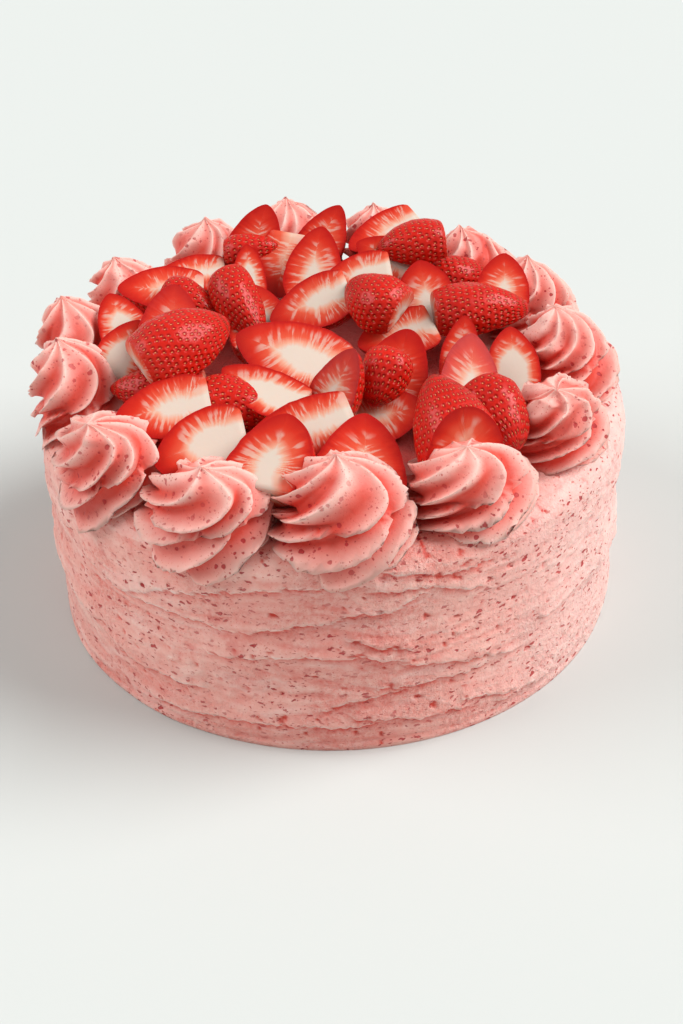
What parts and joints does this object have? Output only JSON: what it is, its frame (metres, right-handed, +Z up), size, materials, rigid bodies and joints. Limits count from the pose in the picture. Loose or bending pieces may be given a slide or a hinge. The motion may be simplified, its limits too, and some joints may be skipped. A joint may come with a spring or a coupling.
{
  "type": "strawberry cake",
  "caption": "Round frosted cake, spread smooth on its side, with piped swirls round its top edge and cut strawberries heaped inside them; made to be served",
  "frame": {"origin": "centre of the flat underside of the cake", "axes": "+Z up, out of the top; the front, seen in the picture, is towards -Y; +X is to the right"},
  "size_m": [0.2252, 0.2234, 0.1253],
  "materials": {
    "frosting": "soft spread frosting",
    "piped_frosting": "soft piped frosting",
    "strawberry": "moist cut fruit"
  },
  "bodies": {
    "root": {"frosted_cake": "frosting", "swirl_01": "piped_frosting", "swirl_02": "piped_frosting", "swirl_03": "piped_frosting", "swirl_04": "piped_frosting", "swirl_05": "piped_frosting", "swirl_06": "piped_frosting", "swirl_07": "piped_frosting", "swirl_08": "piped_frosting", "swirl_09": "piped_frosting", "swirl_10": "piped_frosting", "swirl_11": "piped_frosting", "swirl_12": "piped_frosting", "swirl_13": "piped_frosting", "swirl_14": "piped_frosting", "berry_16": "strawberry", "berry_18": "strawberry", "berry_32": "strawberry", "berry_11": "strawberry", "berry_17": "strawberry", "berry_36": "strawberry", "berry_35": "strawberry", "berry_34": "strawberry", "berry_33": "strawberry", "berry_21": "strawberry", "berry_13": "strawberry", "berry_19": "strawberry", "berry_31": "strawberry", "berry_20": "strawberry", "berry_30": "strawberry", "berry_09": "strawberry", "berry_10": "strawberry", "berry_12": "strawberry", "berry_08": "strawberry", "berry_07": "strawberry", "berry_37": "strawberry", "berry_29": "strawberry", "berry_22": "strawberry", "berry_23": "strawberry", "berry_15": "strawberry", "berry_06": "strawberry", "berry_40": "strawberry", "berry_39": "strawberry", "berry_27": "strawberry", "berry_04": "strawberry", "berry_03": "strawberry", "berry_25": "strawberry", "berry_41": "strawberry", "berry_42": "strawberry", "berry_44": "strawberry", "berry_28": "strawberry", "berry_26": "strawberry", "berry_05": "strawberry", "berry_24": "strawberry", "berry_02": "strawberry", "berry_46": "strawberry", "berry_45": "strawberry", "berry_47": "strawberry", "berry_01": "strawberry", "berry_43": "strawberry"}
  },
  "joints": []
}
